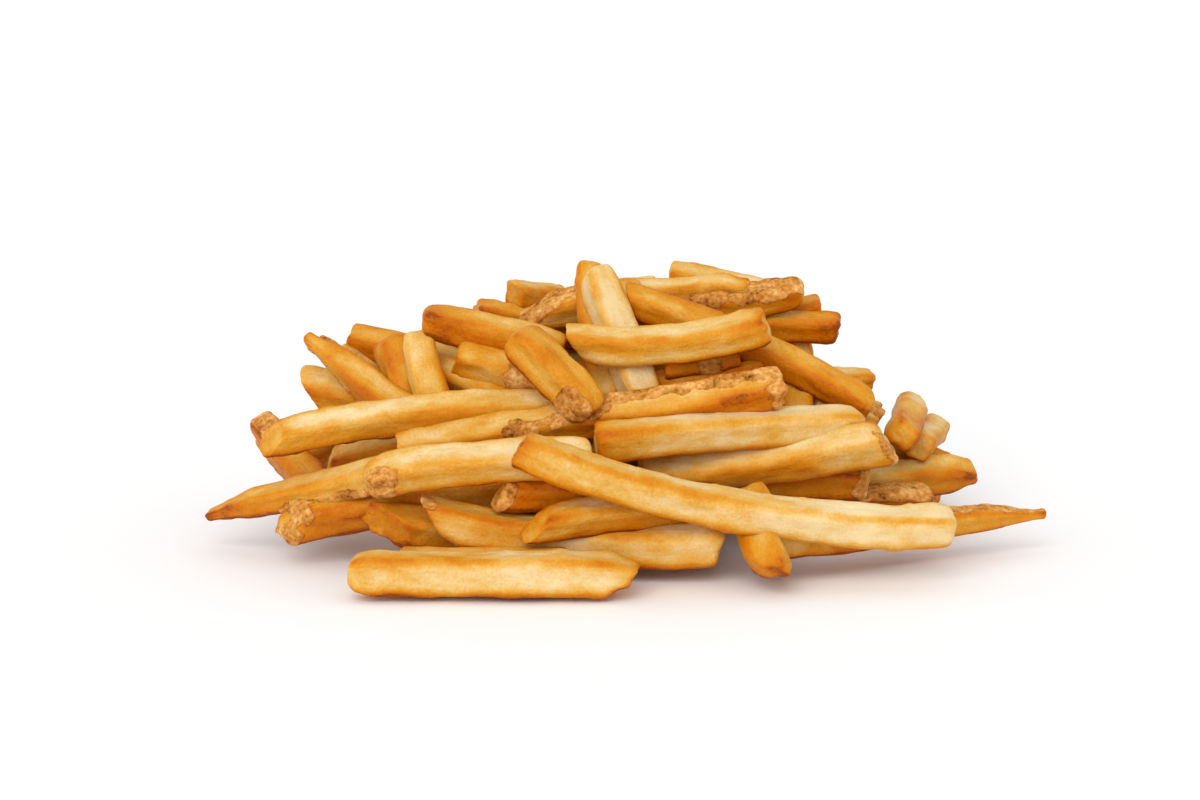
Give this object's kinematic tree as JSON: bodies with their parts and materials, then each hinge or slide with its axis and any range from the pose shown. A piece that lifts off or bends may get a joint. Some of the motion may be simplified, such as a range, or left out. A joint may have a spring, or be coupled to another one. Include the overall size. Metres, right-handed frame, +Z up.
{
  "type": "french fries portion",
  "caption": "Loose heap of french fries as a served portion: uneven fried potato sticks lying over one another on a flat surface.",
  "frame": {"origin": "on the surface the heap lies on, under the middle of its length", "axes": "+X along the heap's long way, +Y towards its far side (the front is at -Y), +Z up"},
  "size_m": [0.1737, 0.1194, 0.0583],
  "materials": {
    "fried_potato": "fried potato: dry golden crust, browner at the cut edges and ends"
  },
  "bodies": {
    "root": {"fries_heap": "fried_potato"}
  },
  "joints": []
}
